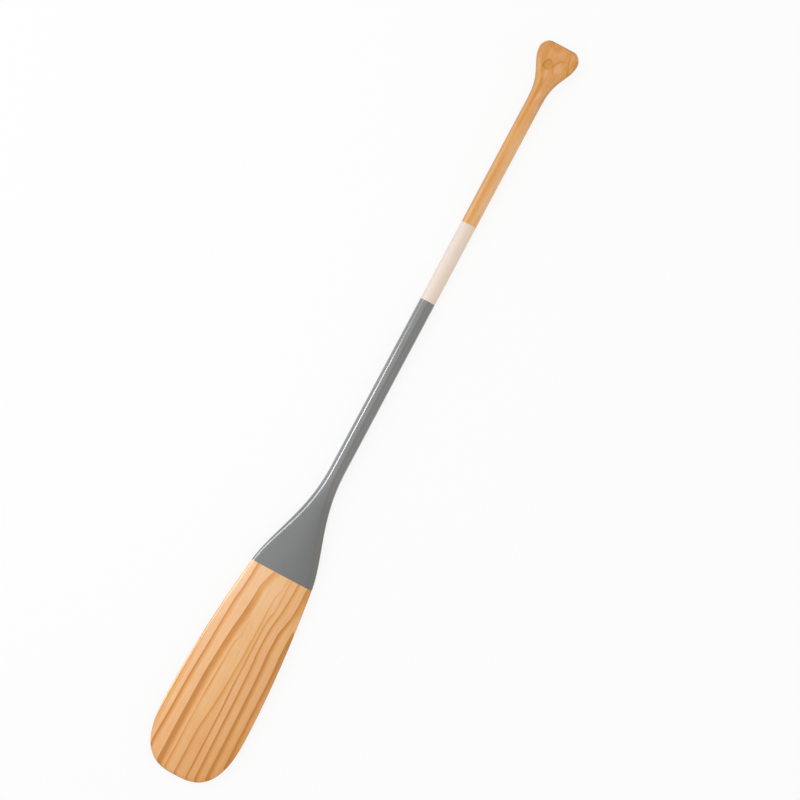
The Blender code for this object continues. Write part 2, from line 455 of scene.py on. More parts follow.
class Wiring:
    """Adds nodes to one node tree and joins them up."""

    def __init__(self, tree: bpy.types.NodeTree) -> None:
        """Keeps the tree that the nodes go into."""
        self.tree = tree

    def node(self, kind: str, **settings: object) -> bpy.types.Node:
        """Adds a node.

        Args:
            kind: The node's type, without its ShaderNode prefix.
            settings: Properties to set on it.

        Returns:
            The node.
        """
        made = self.tree.nodes.new("ShaderNode" + kind)
        for name, value in settings.items():
            setattr(made, name, value)
        return made

    def feed(self, socket: Socket, value: Value | Colour) -> None:
        """Links a socket to another, or sets it to a plain value.

        Args:
            socket: The input.
            value: A socket, a number or a colour.
        """
        if isinstance(value, Socket):
            self.tree.links.new(value, socket)
        elif isinstance(value, tuple) and socket.type == "RGBA":
            socket.default_value = (*value, 1.0)
        else:
            socket.default_value = value

    def math(self, operation: str, *values: Value, clamp: bool = False) -> Socket:
        """Adds a Math node.

        Args:
            operation: The node's operation.
            values: Its inputs in order, each a socket or a number.
            clamp: Whether the result is held between 0 and 1.

        Returns:
            The result.
        """
        made = self.node("Math", operation=operation, use_clamp=clamp)
        for socket, value in zip(made.inputs, values):
            self.feed(socket, value)
        return made.outputs[0]

    def add(self, *values: Value) -> Socket:
        """Adds values up.

        Args:
            values: Two or more values.

        Returns:
            Their sum.
        """
        total = self.math("ADD", values[0], values[1])
        for value in values[2:]:
            total = self.math("ADD", total, value)
        return total

    def times(self, first: Value, second: Value) -> Socket:
        """One value times another."""
        return self.math("MULTIPLY", first, second)

    def times_add(self, first: Value, second: Value, third: Value) -> Socket:
        """One value times another, and a third added."""
        return self.math("MULTIPLY_ADD", first, second, third)

    def less(self, first: Value, second: Value) -> Socket:
        """One value less another."""
        return self.math("SUBTRACT", first, second)

    def size_of(self, value: Value) -> Socket:
        """A value without its sign."""
        return self.math("ABSOLUTE", value)

    def band(self, value: Value, low: float, high: float) -> Socket:
        """A smooth rise from 0 at low to 1 at high, or a fall where high is the smaller.

        Args:
            value: What is measured.
            low: Where the result is 0.
            high: Where the result is 1.

        Returns:
            The result, between 0 and 1.
        """
        made = self.node("MapRange", interpolation_type="SMOOTHSTEP")
        for socket, number in zip(made.inputs[:3], (value, low, high)):
            self.feed(socket, number)
        return made.outputs[0]

    def curve(self, along: Value, points: Points, start: float, end: float) -> Socket:
        """Looks up a smooth curve, level before its first point and after its last.

        Args:
            along: The way along the curve's stretch, from 0 to 1.
            points: The curve's points, from left to right, each with its place in the stretch.
            start: The place where the stretch starts.
            end: The place where it ends.

        Returns:
            The curve's value.
        """
        values = [value for _, value in points]
        low, high = min(0.0, *values), max(0.0, *values)
        spots = [((x - start) / (end - start), (y - low) / (high - low)) for x, y in points]
        made = self.node("FloatCurve")
        made.mapping.extend = "HORIZONTAL"
        line = made.mapping.curves[0].points
        line[0].location, line[1].location = spots[0], spots[-1]
        for spot in spots[1:-1]:
            line.new(*spot)
        for point in line:
            point.handle_type = "AUTO_CLAMPED"
        made.mapping.update()
        self.feed(made.inputs["Value"], along)
        return self.times_add(made.outputs[0], high - low, low)

    def ramp(self, value: Value, stops: tuple[tuple[float, Colour], ...]) -> Socket:
        """Turns a value into a colour.

        Args:
            value: A value from 0 to 1.
            stops: The colours, each with the value that it stands at.

        Returns:
            The colour.
        """
        made = self.node("ValToRGB")
        elements = made.color_ramp.elements
        while len(elements) < len(stops):
            elements.new(0.5)
        for element, (place, colour) in zip(elements, stops):
            element.position = place
            element.color = (*colour, 1.0)
        self.feed(made.inputs[0], value)
        return made.outputs[0]

    def mix(
        self, amount: Value, first: Value | Colour, second: Value | Colour, blend: str = "MIX"
    ) -> Socket:
        """Mixes two colours.

        Args:
            amount: How much of the second, from 0 to 1.
            first: The first colour.
            second: The second colour.
            blend: How the second goes over the first.

        Returns:
            The mixed colour.
        """
        made = self.node("Mix", data_type="RGBA", blend_type=blend, clamp_factor=True)
        self.feed(made.inputs["Factor"], amount)
        self.feed(made.inputs[6], first)
        self.feed(made.inputs[7], second)
        return made.outputs[2]

    def tint(self, amount: Value, colour: Value, by: Value | Colour) -> Socket:
        """A colour that is multiplied by another, as far as the amount says."""
        return self.mix(amount, colour, by, "MULTIPLY")

    def shade(self, colour: Value, amount: Value) -> Socket:
        """Makes a colour darker or paler.

        Args:
            colour: The colour.
            amount: What each of its parts is multiplied by.

        Returns:
            The shaded colour.
        """
        made = self.node("VectorMath", operation="SCALE")
        self.feed(made.inputs[0], colour)
        self.feed(made.inputs["Scale"], amount)
        return made.outputs[0]

    def split(self, vector: Socket) -> Triple:
        """Parts a vector.

        Args:
            vector: The vector.

        Returns:
            Its three coordinates.
        """
        made = self.node("SeparateXYZ")
        self.feed(made.inputs[0], vector)
        return tuple(made.outputs)

    def normal(self) -> Triple:
        """Which way the surface faces: rightwards, towards the grip and up."""
        return self.split(self.node("NewGeometry").outputs["Normal"])

    def millimetres(self, at: Socket, shape: PaddleShape) -> Triple:
        """Object coordinates as x across, place along and height over the middle, in millimetres.

        Args:
            at: The object coordinates.
            shape: The paddle's sizes.

        Returns:
            The three coordinates.
        """
        x, y, z = self.split(at)
        place = self.times_add(y, -PER_METRE, shape.length * PER_METRE / 2)
        height = self.times_add(z, PER_METRE, -PER_METRE * shape.half_thickness)
        return self.times(x, PER_METRE), place, height

    def seen(self) -> Socket:
        """Tells the rays that show a surface from those that only carry its light.

        Returns:
            1 for rays of the camera, of reflections and of glass, and 0 for others.
        """
        made = self.node("LightPath")
        rays = [made.outputs[f"Is {kind} Ray"] for kind in ("Camera", "Glossy", "Transmission")]
        return self.math("MAXIMUM", self.math("MAXIMUM", *rays[:2]), rays[2])


@dataclass(frozen=True)
class Noise:
    """A soft noise: its cell's size in millimetres along each axis, and how fine it is."""

    cell: tuple[float, float, float]
    detail: float = 2.0
    roughness: float = 0.5
    seed_step: float = 0.0

    def at(self, w: Wiring, xyz: Triple, seed: Socket) -> Socket:
        """Places the noise.

        Args:
            w: The group's wiring.
            xyz: The three coordinates.
            seed: How far to move the pattern, for one that differs.

        Returns:
            The noise, from -0.5 to 0.5.
        """
        moved = w.add(seed, self.seed_step) if self.seed_step else seed
        cells = w.node("CombineXYZ")
        for socket, value, step in zip(cells.inputs, xyz, self.cell):
            w.feed(socket, w.times_add(value, 1.0 / step, moved))
        made = w.node("TexNoise")
        w.feed(made.inputs["Vector"], cells.outputs[0])
        settings = {"Scale": 1.0, "Detail": self.detail, "Roughness": self.roughness}
        for name, value in settings.items():
            w.feed(made.inputs[name], value)
        return w.less(made.outputs["Fac"], 0.5)


def new_group(
    name: str, inputs: dict[str, float | None], outputs: dict[str, str]
) -> tuple[bpy.types.NodeTree, Wiring, bpy.types.Node, bpy.types.Node]:
    """Starts a shader node group.

    Args:
        name: The group's name.
        inputs: Its inputs, each with its usual value, or None for coordinates.
        outputs: Its outputs, each with the end of its socket's type.

    Returns:
        The group, its wiring, and its input and output nodes.
    """
    tree = bpy.data.node_groups.new(name, "ShaderNodeTree")
    for label, usual in inputs.items():
        kind = "NodeSocketVector" if usual is None else "NodeSocketFloat"
        socket = tree.interface.new_socket(label, in_out="INPUT", socket_type=kind)
        if usual is not None:
            socket.default_value = usual
    for label, kind in outputs.items():
        tree.interface.new_socket(label, in_out="OUTPUT", socket_type="NodeSocket" + kind)
    start, end = tree.nodes.new("NodeGroupInput"), tree.nodes.new("NodeGroupOutput")
    return tree, Wiring(tree), start, end


@dataclass(frozen=True)
class Ring:
    """A growth ring where it meets the upper face: a sharp dark edge that fades to its right.

    Lengths are in millimetres. The path gives its x and the depth its darkness by place.
    """

    fade: float
    path: Points
    depth: Points
    plateau: float = 0.08
    core: float = 4.6
    core_share: float = 0.4
    softness: float = 0.3

    def darkness(
        self, w: Wiring, along: Value, start: float, end: float, across: Value
    ) -> Socket:
        """How dark the ring makes the wood.

        Args:
            w: The group's wiring.
            along: The way along the ring's stretch, from 0 to 1.
            start: The place where the stretch starts.
            end: The place where it ends.
            across: The way across the grain.

        Returns:
            The darkness.
        """
        beyond = w.less(across, w.curve(along, self.path, start, end))
        broad = w.band(beyond, self.fade, self.fade * self.plateau)
        core = w.band(beyond, self.core, 0.0)
        both = w.times_add(core, self.core_share, w.times(broad, 1.0 - self.core_share))
        sharp = w.times(both, w.band(beyond, -self.softness, self.softness))
        return w.times(sharp, w.curve(along, self.depth, start, end))


@dataclass(frozen=True)
class RingStretch:
    """The rings of one stretch of the paddle."""

    start: float
    end: float
    rings: tuple[Ring, ...]

    def darkness(self, w: Wiring, place: Value, across: Value) -> Socket:
        """How dark the darkest ring of the stretch makes the wood.

        Args:
            w: The group's wiring.
            place: The place along the paddle.
            across: The way across the grain.

        Returns:
            The darkness.
        """
        along = w.math("DIVIDE", w.less(place, self.start), self.end - self.start, clamp=True)
        darkest: Value = 0.0
        for ring in self.rings:
            dark = ring.darkness(w, along, self.start, self.end, across)
            darkest = w.math("MAXIMUM", darkest, dark)
        return darkest


@dataclass(frozen=True)
class Spot:
    """A soft patch of darker or paler wood, in millimetres."""

    x: float
    place: float
    half_width: float
    half_length: float
    depth: float

    def span(self, w: Wiring, across: Value, place: Value) -> Triple:
        """Measures from the spot's middle, in its own half sizes.

        Args:
            w: The group's wiring.
            across: The way across the grain.
            place: The place along the paddle.

        Returns:
            The way across, the way along and the square of the way from the middle.
        """
        aside = w.times_add(across, 1.0 / self.half_width, -self.x / self.half_width)
        onwards = w.times_add(place, 1.0 / self.half_length, -self.place / self.half_length)
        return aside, onwards, w.times_add(aside, aside, w.times(onwards, onwards))

    def darkness(self, w: Wiring, across: Value, place: Value) -> Socket:
        """How much darker the spot makes the wood, or paler where the depth is below 0."""
        return w.times(w.band(self.span(w, across, place)[2], 1.0, 0.0), self.depth)


@dataclass(frozen=True)
class Knot(Spot):
    """A knot: a dark core with faint rings, inside a rim that is open on its right.

    The outline and the rim are at shares of the knot's half sizes, from where each starts to where
    it is full. The opening is where the rim fades, measured along its own slant.
    """

    unevenness: float = 0.42
    outline: Range = (1.12, 0.80)
    rim: Range = (0.45, 0.86)
    opening: Range = (0.75, -0.3)
    slant: tuple[float, float] = (0.9, 0.15)
    core: float = 0.15
    ring_turn: float = 17.0
    ring_depth: float = 0.02

    def shading(
        self, w: Wiring, across: Value, place: Value, waver: Value
    ) -> tuple[Socket, Socket]:
        """The knot's darkness.

        Args:
            w: The group's wiring.
            across: The way across the grain.
            place: The place along the paddle.
            waver: A noise that makes its outline uneven.

        Returns:
            How much darker the knot makes the wood, and its rim alone.
        """
        aside, onwards, square = self.span(w, across, place)
        way = w.times_add(waver, self.unevenness, w.math("SQRT", square))
        inside = w.band(way, *self.outline)
        ring = w.times(inside, w.band(way, *self.rim))
        rightwards = w.times_add(onwards, self.slant[1], w.times(aside, self.slant[0]))
        rim = w.times(ring, w.band(rightwards, *self.opening))
        waves = w.math("SINE", w.times(way, self.ring_turn))
        core = w.times(inside, w.times_add(waves, self.ring_depth, self.core))
        return w.times_add(rim, self.depth, core), rim


BLADE_RINGS = RingStretch(
    start=1095.0,
    end=1530.0,
    rings=(
        Ring(
            fade=13.0,
            path=((1095, -82), (1300, -83), (1360, -84), (1440, -86), (1530, -90)),
            depth=((1095, 0.5), (1530, 0.72)),
        ),
        Ring(
            fade=11.0,
            plateau=0.14,
            path=(
                (1095, -48.5), (1110, -50.5), (1136, -52.2), (1160, -54.8), (1190, -58.3),
                (1210, -59.7), (1240, -61), (1280, -62.5), (1340, -66), (1400, -67.3),
                (1440, -68.6), (1480, -70), (1530, -71.8),
            ),
            depth=(
                (1095, 0.76), (1180, 0.8), (1240, 0.86), (1340, 0.92), (1440, 1.02), (1530, 1.02),
            ),
        ),
        Ring(
            fade=17.0,
            plateau=0.3,
            core_share=0.26,
            path=(
                (1095, -12), (1110, -17), (1120, -20.5), (1130, -23.5), (1140, -26), (1160, -27.5),
                (1200, -31), (1240, -36), (1280, -39), (1320, -42), (1360, -43), (1440, -44),
                (1530, -43.5),
            ),
            depth=(
                (1095, 0.56), (1120, 0.5), (1160, 0.66), (1195, 0.92), (1400, 0.96), (1530, 0.96),
            ),
        ),
        Ring(
            fade=6.0,
            path=(
                (1200, -15), (1235, -15), (1256, -21), (1300, -23), (1350, -24.5), (1400, -25.5),
                (1440, -25.5), (1530, -26),
            ),
            depth=(
                (1180, 0.0), (1215, 0.2), (1290, 0.4), (1340, 0.6), (1390, 0.36), (1430, 0.42),
                (1470, 0.56), (1530, 0.56),
            ),
        ),
        Ring(
            fade=9.0,
            core_share=0.3,
            path=(
                (1095, 14), (1136, 11), (1160, 6.5), (1208, 7), (1260, 6), (1320, 3.5), (1360, 1.5),
                (1400, -2.5), (1440, -5), (1530, -5),
            ),
            depth=(
                (1095, 0.3), (1140, 0.2), (1180, 0.32), (1260, 0.42), (1400, 0.52), (1530, 0.64),
            ),
        ),
        Ring(
            fade=4.6,
            core_share=0.6,
            path=(
                (1095, 20), (1160, 20), (1188, 15.5), (1208, 14.5), (1300, 14.5), (1380, 16.5),
                (1440, 17.5), (1530, 18.5),
            ),
            depth=((1095, 0.3), (1160, 0.3), (1190, 0.56), (1280, 0.6), (1340, 0.8), (1530, 0.9)),
        ),
        Ring(
            fade=9.0,
            core_share=0.45,
            path=(
                (1095, 33.5), (1140, 33), (1160, 31.5), (1184, 28.5), (1210, 26), (1240, 25.5),
                (1280, 27.5), (1340, 29.5), (1400, 31), (1460, 32.5), (1530, 34.5),
            ),
            depth=((1095, 0.6), (1160, 0.62), (1190, 0.78), (1340, 0.84), (1530, 0.9)),
        ),
        Ring(
            fade=10.0,
            plateau=0.2,
            core_share=0.35,
            path=(
                (1095, 50), (1110, 50.5), (1140, 51.5), (1160, 51), (1184, 47.5), (1208, 43.5),
                (1240, 43), (1280, 45.5), (1320, 47), (1400, 49), (1530, 51.5),
            ),
            depth=((1095, 0.62), (1160, 0.66), (1200, 0.86), (1340, 0.9), (1530, 0.88)),
        ),
        Ring(
            fade=9.5,
            plateau=0.1,
            path=(
                (1095, 60.5), (1184, 62.5), (1208, 63.5), (1240, 64.5), (1260, 66), (1300, 68),
                (1340, 68.5), (1420, 69.5), (1530, 71),
            ),
            depth=((1095, 0.6), (1184, 0.7), (1208, 0.96), (1440, 0.94), (1470, 0.6), (1530, 0.5)),
        ),
        Ring(fade=14.0, path=((1095, -97), (1530, -104)), depth=((1095, 0.6), (1530, 0.6))),
        Ring(
            fade=6.0,
            path=((1095, 73), (1300, 79.5), (1530, 86)),
            depth=((1095, 0.8), (1530, 1.0)),
        ),
    ),
)

GRIP_RINGS = RingStretch(
    start=-5.0,
    end=400.0,
    rings=(
        Ring(
            fade=9.0,
            plateau=0.4,
            core_share=0.1,
            softness=0.9,
            path=(
                (-5, -26), (20, -27), (35, -26.5), (45, -23), (60, -16), (72, -10.5), (90, -8),
                (110, -8), (150, -8), (200, -7), (400, -6),
            ),
            depth=(
                (-5, 0.05), (40, 0.1), (62, 0.14), (74, 0.28), (92, 0.34), (120, 0.26),
                (165, 0.26), (185, 0.14), (260, 0.18), (400, 0.14),
            ),
        ),
        Ring(
            fade=6.0,
            core_share=0.5,
            softness=0.8,
            path=(
                (-5, 17), (15, 19), (23, 20.5), (25.5, 17), (28, 10), (32, 5), (36, 2), (40, 0),
                (46, -0.5), (50, 1), (56, 5.5), (61, 10), (68, 13), (80, 14), (400, 12),
            ),
            depth=((-5, 0.05), (18, 0.08), (26, 0.3), (40, 0.3), (50, 0.18), (62, 0.06), (72, 0.0)),
        ),
        Ring(fade=6.0, path=((-5, -38), (400, -20)), depth=((-5, 0.16), (400, 0.14))),
        Ring(
            fade=5.0,
            path=((-5, 15), (14, 18.5), (26, 22), (40, 26.5), (60, 27), (400, 20)),
            depth=((-5, 0.06), (10, 0.2), (40, 0.26), (60, 0.12), (400, 0.12)),
        ),
        Ring(fade=5.0, path=((-5, -50), (400, -31)), depth=((-5, 0.2), (400, 0.16))),
    ),
)

GRIP_SPOTS = (
    Spot(-7, 12, 10, 9, 0.16),
    Spot(-19, 9, 7, 7, 0.12),
    Spot(33, 22, 7, 10, 0.14),
    Spot(24, 36, 5, 9, 0.12),
    Spot(10, 43, 11, 15, -0.14),
    Spot(-7, 64, 6, 13, -0.12),
    Spot(1, 17, 16, 12, -0.08),
    Spot(2, 104, 5, 12, -0.16),
    Spot(7, 127, 6, 9, -0.10),
    Spot(4, 210, 4, 60, -0.06),
    Spot(5, 330, 4, 50, -0.06),
    Spot(12, 260, 8, 170, -0.20),
)


@dataclass(frozen=True)
class PineGrain:
    """The grain of the boards, as solid wood: growth rings, fibres, resin streaks and a knot.

    Lengths are in millimetres. The rings lean through the thickness, so that they run elsewhere on
    the edges and on the back. A zone runs from where something isn't yet to where it is in full.
    The relief is that of the rings, the fibres and the resin.
    """

    shape: PaddleShape

    face: Points = ((0, 15.2), (140, 14.8), (877, 14.8), (1105, 9.0), (1250, 7.2), (1524, 4.8))
    lean: Points = ((0, 0.4), (877, 0.4), (1105, 1.2), (1524, 1.2))
    depth: Points = (
        (0, 0.56), (60, 0.56), (80, 0.55), (150, 0.46), (200, 0.40), (373, 0.37), (1000, 0.2),
        (1110, 0.02), (1200, 0.055), (1340, 0.12), (1450, 0.19), (1524, 0.27),
    )
    left: float = -82.0
    right: float = 82.0
    # Darkens the blade's right: more latewood there, and partly painted shade.
    right_latewood_and_shade: float = 0.33
    knot: Knot = Knot(-9.6, 44.4, 9.8, 10.4, 0.20)

    wander: Noise = Noise((45.0, 190.0, 45.0))
    waver: Noise = Noise((9.0, 50.0, 9.0))
    fibre: Noise = Noise((0.55, 42.0, 0.55), detail=3.0, roughness=0.6)
    bumpy: Noise = Noise((8.0, 9.0, 8.0), detail=1.0, seed_step=4.0)
    hue: Noise = Noise((26.0, 210.0, 26.0), seed_step=9.0)
    dash: Noise = Noise((0.9, 24.0, 0.9), detail=1.0, seed_step=7.0)

    wander_at_face: float = 1.4
    wander_below: float = 0.5
    waver_reach: float = 1.1
    fibre_reach: float = 0.35
    fibre_depth: float = 0.26
    texture: tuple[tuple[float, Noise], ...] = (
        (0.38, Noise((2.8, 230.0, 2.8), detail=3.0, roughness=0.55)),
        (0.22, Noise((60.0, 150.0, 60.0), seed_step=5.0)),
        (0.16, Noise((6.0, 24.0, 6.0), seed_step=2.0)),
    )
    rim_depth: float = 0.12
    resin_depth: float = 0.5
    resin_in_rings: float = 1.2
    resin_between: float = 0.15
    glue_depth: float = 0.4
    end_grain_depth: float = 0.7

    blade_zone: Range = (1020.0, 1060.0)
    bare_zone: Range = (460.0, 420.0)
    handled_zone: Range = (420.0, 380.0)
    grip_zone: Range = (170.0, 110.0)
    hue_zone: Range = (-0.2, 0.25)
    dash_zone: Range = (0.25, 0.31)
    glue_zone: Range = (0.22, 0.10)
    end_grain_zone: Range = (0.50, 0.92)
    tip_shade_zone: Range = (-0.58, -0.80)
    # Painted shade falls on the rims in the left, right and end zones.
    left_zone: Range = (-0.68, -0.90)
    right_zone: Range = (0.68, 0.90)
    end_zone: Range = (0.62, 0.86)

    wood: tuple[tuple[float, Colour], ...] = (
        (0.0, (0.90, 0.575, 0.335)),
        (0.3, (0.815, 0.435, 0.178)),
        (0.65, (0.71, 0.30, 0.062)),
        (1.0, (0.55, 0.20, 0.026)),
    )
    pink_hue: Colour = (1.0, 0.985, 1.0)
    yellow_hue: Colour = (0.99, 1.0, 0.9)
    knot_rim: Colour = (0.40, 0.21, 0.08)
    resin: Colour = (0.34, 0.12, 0.03)
    glue: Colour = (0.42, 0.18, 0.055)
    end_grain: Colour = (0.50, 0.33, 0.19)
    handled: Colour = (0.97, 1.01, 1.12)
    aged: Colour = (0.975, 1.03, 1.28)
    # Painted shade: the tint of the rims of the grip and the bare shaft.
    painted_rim_shade: Colour = (0.80, 0.91, 1.04)
    # Painted shade: the tint of the rim round the blade's tip.
    painted_tip_shade: Colour = (0.45, 0.55, 0.75)
    # Painted light at the blade's left and painted shade at its right.
    lit_left_tint: Colour = (1.035, 0.985, 0.90)
    shaded_right_tint: Colour = (0.955, 1.0, 1.09)

    relief: tuple[float, float, float] = (0.6, 0.45, -0.3)
    roughness: float = 0.46
    ring_roughness: float = -0.08
    fibre_roughness: float = 0.14

    def stains(self, w: Wiring, colour: Value, place: Value, aside: Value) -> Socket:
        """Age and wear over the wood, end grain and hands, and painted light and shade on rims, tip
        and blade.

        Args:
            w: The group's wiring.
            colour: The fresh wood's colour.
            place: The place along the paddle.
            aside: The way across the blade, 0 at its left and 1 at its right.

        Returns:
            The colour.
        """
        rightwards, gripwards, _ = w.normal()
        end_grain = w.band(w.size_of(gripwards), *self.end_grain_zone)
        colour = w.mix(w.times(end_grain, self.end_grain_depth), colour, self.end_grain)
        grip = w.band(place, *self.grip_zone)
        handled = w.band(place, *self.handled_zone)
        # Painted light and shade across the blade: warmer at its left, towards the light, and
        # cooler and darker at its right.
        blade_side_light = w.mix(aside, self.lit_left_tint, self.shaded_right_tint)
        colour = w.tint(
            1.0, colour, w.mix(handled, blade_side_light, w.mix(grip, self.handled, self.aged))
        )
        # Painted shade: on the grip and the bare shaft the rims that face left are tinted darker
        # and greyer, and on the grip also those facing right and towards its end.
        around = w.add(w.band(rightwards, *self.right_zone), w.band(gripwards, *self.end_zone))
        rims = w.add(w.band(rightwards, *self.left_zone), w.times(around, grip))
        painted_rim_shade = w.times(w.math("MINIMUM", rims, 1.0), handled)
        colour = w.tint(painted_rim_shade, colour, self.painted_rim_shade)
        # Painted shade: the rim round the tip, where it faces away from the grip, is tinted darker
        # and greyer.
        return w.tint(w.band(gripwards, *self.tip_shade_zone), colour, self.painted_tip_shade)

    def build(self) -> bpy.types.NodeTree:
        """Makes the node group.

        Returns:
            The group: the board's colour, height and roughness.
        """
        inputs = {"Vector": None, "Slope": 1.0, "Seed": 0.0}
        outputs = {"Color": "Color", "Height": "Float", "Roughness": "Float"}
        tree, w, start, end = new_group("pine_grain", inputs, outputs)
        seed = start.outputs["Seed"]
        x, place, height = xyz = w.millimetres(start.outputs["Vector"], self.shape)
        length = self.shape.length * PER_METRE
        along = w.math("DIVIDE", place, length, clamp=True)
        fibre = self.fibre.at(w, xyz, seed)

        under = w.less(height, w.curve(along, self.face, 0.0, length))
        lean = w.times(w.curve(along, self.lean, 0.0, length), start.outputs["Slope"])
        leaned = w.times_add(under, lean, x)
        stray = w.times_add(w.size_of(under), self.wander_below, self.wander_at_face)
        across = w.add(
            w.times_add(self.wander.at(w, xyz, seed), stray, leaned),
            w.times(self.waver.at(w, xyz, seed), self.waver_reach),
            w.times(fibre, self.fibre_reach),
        )
        on_blade = w.band(place, *self.blade_zone)
        rings = w.add(
            w.times(BLADE_RINGS.darkness(w, place, across), on_blade),
            w.times(GRIP_RINGS.darkness(w, place, across), w.band(place, *self.bare_zone)),
        )
        from_left = w.less(leaned, self.left)
        aside = w.math("MULTIPLY", from_left, 1.0 / (self.right - self.left), clamp=True)
        knot, rim = self.knot.shading(w, leaned, place, self.bumpy.at(w, xyz, seed))
        depth = w.add(
            w.curve(along, self.depth, 0.0, length),
            # The blade darker to its right: partly more latewood, partly painted shade.
            w.times(w.times(aside, on_blade), self.right_latewood_and_shade),
            *(spot.darkness(w, leaned, place) for spot in GRIP_SPOTS),
            rings,
            knot,
            w.times(fibre, self.fibre_depth),
            *(w.times(noise.at(w, xyz, seed), depth) for depth, noise in self.texture),
        )

        hue = w.band(self.hue.at(w, xyz, seed), *self.hue_zone)
        colour = w.tint(
            1.0, w.ramp(depth, self.wood), w.mix(hue, self.pink_hue, self.yellow_hue)
        )
        colour = w.mix(w.times(rim, self.rim_depth), colour, self.knot_rim)
        dashes = w.band(self.dash.at(w, xyz, seed), *self.dash_zone)
        resin = w.times(dashes, w.times_add(rings, self.resin_in_rings, self.resin_between))
        colour = w.mix(w.times(resin, self.resin_depth), colour, self.resin)
        seam = w.size_of(w.less(w.size_of(x), self.shape.stave_half_width * PER_METRE))
        glue = w.times(w.band(seam, *self.glue_zone), self.glue_depth)
        colour = self.stains(w, w.mix(glue, colour, self.glue), place, aside)

        relief = w.add(*map(w.times, (rings, fibre, resin), self.relief))
        rough = w.times_add(rings, self.ring_roughness, self.roughness)
        rough = w.times_add(fibre, self.fibre_roughness, rough)
        for label, value in zip(outputs, (colour, relief, rough)):
            w.feed(end.inputs[label], value)
        return tree


@dataclass(frozen=True)
class FilmFlow:
    """How a brushed film of paint or varnish lies: brush marks, orange peel, dust and scuffs.

    The marks are those of the brush and the orange peel, each with its height.
    """

    shape: PaddleShape
    marks: tuple[tuple[float, Noise], ...] = (
        (0.3, Noise((0.8, 55.0, 0.8))),
        (0.6, Noise((2.4, 3.0, 2.4), detail=1.0)),
    )
    dust: Noise = Noise((0.9, 0.9, 0.9), detail=0.0)
    patch: Noise = Noise((16.0, 42.0, 16.0), detail=3.0, roughness=0.65)
    rub: Noise = Noise((1.3, 7.0, 1.3), detail=3.0, roughness=0.7, seed_step=3.0)
    cloud: Noise = Noise((38.0, 95.0, 38.0), detail=3.0, seed_step=11.0)
    nib_height: float = 0.5
    nib_zone: Range = (0.30, 0.38)
    patch_zone: Range = (0.04, 0.24)
    rub_zone: Range = (0.02, 0.22)

    def build(self) -> bpy.types.NodeTree:
        """Makes the node group.

        Returns:
            The group: the film's height, its scuffs and the clouds in its tone.
        """
        outputs = {"Height": "Float", "Scuff": "Float", "Cloud": "Float"}
        tree, w, start, end = new_group("film_flow", {"Vector": None, "Seed": 0.0}, outputs)
        seed = start.outputs["Seed"]
        xyz = w.millimetres(start.outputs["Vector"], self.shape)
        nibs = w.band(self.dust.at(w, xyz, seed), *self.nib_zone)
        patches = w.band(self.patch.at(w, xyz, seed), *self.patch_zone)
        scuff = w.times(patches, w.band(self.rub.at(w, xyz, seed), *self.rub_zone))
        marks = (w.times(noise.at(w, xyz, seed), height) for height, noise in self.marks)
        height = w.add(w.times(nibs, self.nib_height), *marks)
        for label, value in zip(outputs, (height, scuff, self.cloud.at(w, xyz, seed))):
            w.feed(end.inputs[label], value)
        return tree


class Finishes:
    """The node groups that the materials share, each built once."""

    def __init__(self, shape: PaddleShape) -> None:
        """Builds the groups.

        Args:
            shape: The paddle's sizes.
        """
        self.shape = shape
        self.grain = PineGrain(shape).build()
        self.film = FilmFlow(shape).build()


class Dressing:
    """One material while it is being made: its wiring, its shader and its coordinates."""

    def __init__(self, name: str) -> None:
        """Starts a material.

        Args:
            name: The material's name.
        """
        self.material = bpy.data.materials.new(name)
        self.material.use_nodes = True
        self.w = Wiring(self.material.node_tree)
        self.shader = self.material.node_tree.nodes["Principled BSDF"]
        self.at = self.w.node("TexCoord").outputs["Object"]

    def group(self, tree: bpy.types.NodeTree, **values: float) -> bpy.types.NodeOutputs:
        """Puts a node group in the material.

        Args:
            tree: The group.
            values: Its inputs other than the coordinates, by name.

        Returns:
            The group's outputs.
        """
        made = self.w.node("Group", node_tree=tree)
        self.w.feed(made.inputs["Vector"], self.at)
        for name, value in values.items():
            self.w.feed(made.inputs[name], value)
        return made.outputs

    def set(self, **values: Value | Colour) -> None:
        """Feeds the shader's inputs, with the spaces in their names as _."""
        for name, value in values.items():
            self.w.feed(self.shader.inputs[name.replace("_", " ")], value)

    def bump(self, height: Value, relief: float) -> None:
        """Gives the surface a relief.

        Args:
            height: Its height, in shares of the relief.
            relief: The height of the whole relief, in metres.
        """
        made = self.w.node("Bump")
        for name, value in {"Strength": 1.0, "Distance": relief, "Height": height}.items():
            self.w.feed(made.inputs[name], value)
        self.set(Normal=made.outputs[0])


@dataclass(frozen=True)
class PineFinish:
    """Pine under clear varnish, which hands have worn thin on the grip and the bare shaft."""

    slope: float
    seed: float
    relief: float = 0.00003
    film_relief: float = 0.3
    clouding: float = 0.08
    scuff_roughness: float = 0.12
    varnish: float = 0.8
    worn_varnish: float = 0.2
    worn_zone: Range = (520.0, 440.0)
    varnish_roughness: float = 0.22
    under_shine: float = 0.1

    def material(self, name: str, finishes: Finishes) -> bpy.types.Material:
        """Makes the board's material.

        Args:
            name: The material's name.
            finishes: The shared node groups.

        Returns:
            The material.
        """
        dressing = Dressing(name)
        w = dressing.w
        grain = dressing.group(finishes.grain, Slope=self.slope, Seed=self.seed)
        film = dressing.group(finishes.film, Seed=self.seed)
        cloud = w.times_add(film["Cloud"], self.clouding, 1.0)
        _, place, _ = w.millimetres(dressing.at, finishes.shape)
        worn = w.band(place, *self.worn_zone)
        dressing.set(
            Base_Color=w.shade(grain["Color"], cloud),
            Roughness=w.times_add(film["Scuff"], self.scuff_roughness, grain["Roughness"]),
            Coat_Weight=w.times_add(worn, self.worn_varnish - self.varnish, self.varnish),
            Coat_Roughness=self.varnish_roughness,
            Specular_IOR_Level=self.under_shine,
        )
        height = w.times_add(film["Height"], self.film_relief, grain["Height"])
        dressing.bump(height, self.relief)
        return dressing.material


